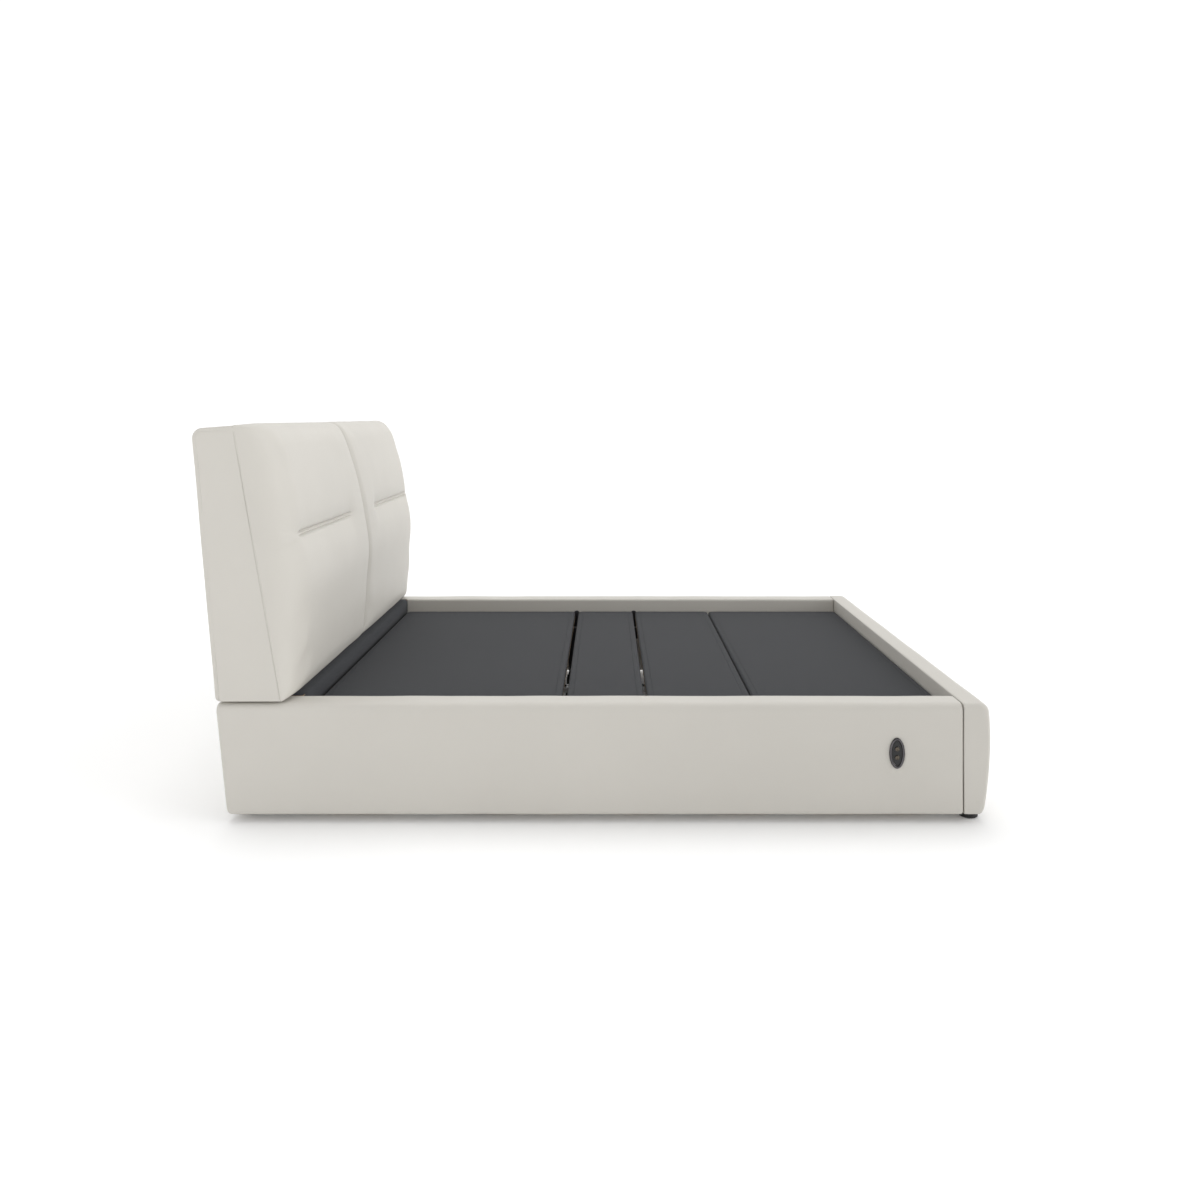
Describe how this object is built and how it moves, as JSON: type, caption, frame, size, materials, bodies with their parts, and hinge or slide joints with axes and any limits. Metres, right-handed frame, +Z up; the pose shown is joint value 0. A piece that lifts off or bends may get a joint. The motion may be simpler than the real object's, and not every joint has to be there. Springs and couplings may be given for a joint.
{
  "type": "adjustable bed base",
  "caption": "Low upholstered bed with padded headboard, side rails and footboard around a hinged slab deck that lifts at the head and knees; mattress not included.",
  "frame": {"origin": "on the floor, below the middle of the bed's box", "axes": "+X across the bed to the right as seen from the foot end, +Y from the foot end to the headboard, +Z up"},
  "size_m": [1.726, 2.4331, 1.207],
  "materials": {
    "cover_leather": "smooth pale upholstery leather",
    "padding": "foam under the leather cover",
    "deck_fabric": "woven charcoal cloth over thin foam",
    "plywood": "birch plywood",
    "black_steel": "satin black powder coat",
    "zinc_steel": "zinc plated",
    "actuator_plastic": "moulded, fine grain",
    "rod_steel": "bright",
    "rubber": "matt black",
    "dark_chrome": "dark bright plating",
    "switch_plastic": "satin",
    "button_metal": "satin dark metal"
  },
  "bodies": {
    "base": {"left_rail_core": "plywood", "left_rail_pad": "padding", "right_rail_core": "plywood", "right_rail_pad": "padding", "footboard_core": "plywood", "footboard_pad": "padding", "recess_head_board": "plywood", "headboard_shelf": "plywood", "rear_panel_pad": "padding", "rear_panel_board": "plywood", "headboard_left_side": "cover_leather", "headboard_right_side": "cover_leather", "headboard_frame": "plywood", "headboard_front_board": "plywood", "headboard_back_panel": "plywood", "headboard_left_cushion": "padding", "headboard_right_cushion": "padding", "headboard_brackets": "black_steel", "floor_glides": "rubber", "centre_legs": "black_steel", "base_frame": "black_steel", "actuator_cross_tubes": "black_steel", "frame_brackets": "black_steel", "deck_bumpers": "rubber", "corner_brackets": "zinc_steel", "bed_bolts": "zinc_steel", "seat_board": "plywood", "seat_pad": "deck_fabric", "fixed_hinge_brackets": "black_steel", "actuator_mounts": "black_steel", "foot_link_mounts": "black_steel", "control_box": "actuator_plastic", "power_supply": "actuator_plastic", "power_inlet": "actuator_plastic", "switch_housing": "switch_plastic", "switch_bezel": "dark_chrome", "switch_face": "switch_plastic"},
    "head_section": {"head_board": "plywood", "head_pad": "deck_fabric", "head_frame": "black_steel", "head_hinge_plates": "black_steel", "head_lever": "black_steel"},
    "thigh_section": {"thigh_board": "plywood", "thigh_pad": "deck_fabric", "thigh_frame": "black_steel", "thigh_hinge_plates": "black_steel", "thigh_knee_plates": "black_steel", "thigh_lever": "black_steel"},
    "foot_section": {"foot_board": "plywood", "foot_pad": "deck_fabric", "foot_frame": "black_steel", "foot_knee_plates": "black_steel", "foot_link_lugs": "black_steel"},
    "foot_link_pair": {"foot_links": "zinc_steel"},
    "head_actuator": {"head_actuator_body": "actuator_plastic"},
    "head_rod": {"head_actuator_rod": "rod_steel"},
    "leg_actuator": {"leg_actuator_body": "actuator_plastic"},
    "leg_rod": {"leg_actuator_rod": "rod_steel"},
    "up_key": {"up_button": "button_metal"},
    "down_key": {"down_button": "button_metal"}
  },
  "joints": [
    {"name": "head_lift", "type": "hinge", "parent": "base", "child": "head_section", "pos_m": [0, 0.093, 0.301], "axis": [1, 0, 0], "range_deg": [0, 60]},
    {"name": "thigh_lift", "type": "hinge", "parent": "base", "child": "thigh_section", "pos_m": [0, -0.177, 0.301], "axis": [-1, 0, 0], "range_deg": [0, 35]},
    {"name": "foot_fold", "type": "hinge", "parent": "thigh_section", "child": "foot_section", "pos_m": [0, -0.527, 0.272], "axis": [1, 0, 0], "range_deg": [0, 53]},
    {"name": "foot_link_swing", "type": "hinge", "parent": "base", "child": "foot_link_pair", "pos_m": [0, -0.45, 0.2], "axis": [-1, 0, 0], "range_deg": [0, 37]},
    {"name": "head_actuator_swing", "type": "hinge", "parent": "base", "child": "head_actuator", "pos_m": [-0.12, -0.15, 0.17], "axis": [1, 0, 0], "range_deg": [0, 11]},
    {"name": "head_actuator_stroke", "type": "slide", "parent": "head_actuator", "child": "head_rod", "axis": [0, 0.9957, 0.0929], "range_m": [0, 0.096]},
    {"name": "leg_actuator_swing", "type": "hinge", "parent": "base", "child": "leg_actuator", "pos_m": [0.12, 0.1, 0.17], "axis": [-1, 0, 0], "range_deg": [0, 10]},
    {"name": "leg_actuator_stroke", "type": "slide", "parent": "leg_actuator", "child": "leg_rod", "axis": [0, -0.9897, -0.1428], "range_m": [0, 0.093]},
    {"name": "up_button_press", "type": "slide", "parent": "base", "child": "up_key", "axis": [1, 0, 0], "range_m": [0, 0.0015], "stiffness_N_per_m": 900, "springref_m": -0.001},
    {"name": "down_button_press", "type": "slide", "parent": "base", "child": "down_key", "axis": [1, 0, 0], "range_m": [0, 0.0015], "stiffness_N_per_m": 900, "springref_m": -0.001}
  ],
  "couplings": [
    {"joint": "foot_fold", "follows": "thigh_lift", "ratio": 1.5},
    {"joint": "foot_link_swing", "follows": "thigh_lift", "ratio": 1.035},
    {"joint": "leg_actuator_swing", "follows": "thigh_lift", "ratio": 0.2804},
    {"joint": "leg_actuator_stroke", "follows": "thigh_lift", "m_per_rad": 0.1515},
    {"joint": "head_actuator_swing", "follows": "head_lift", "ratio": 0.1771},
    {"joint": "head_actuator_stroke", "follows": "head_lift", "m_per_rad": 0.0907}
  ]
}
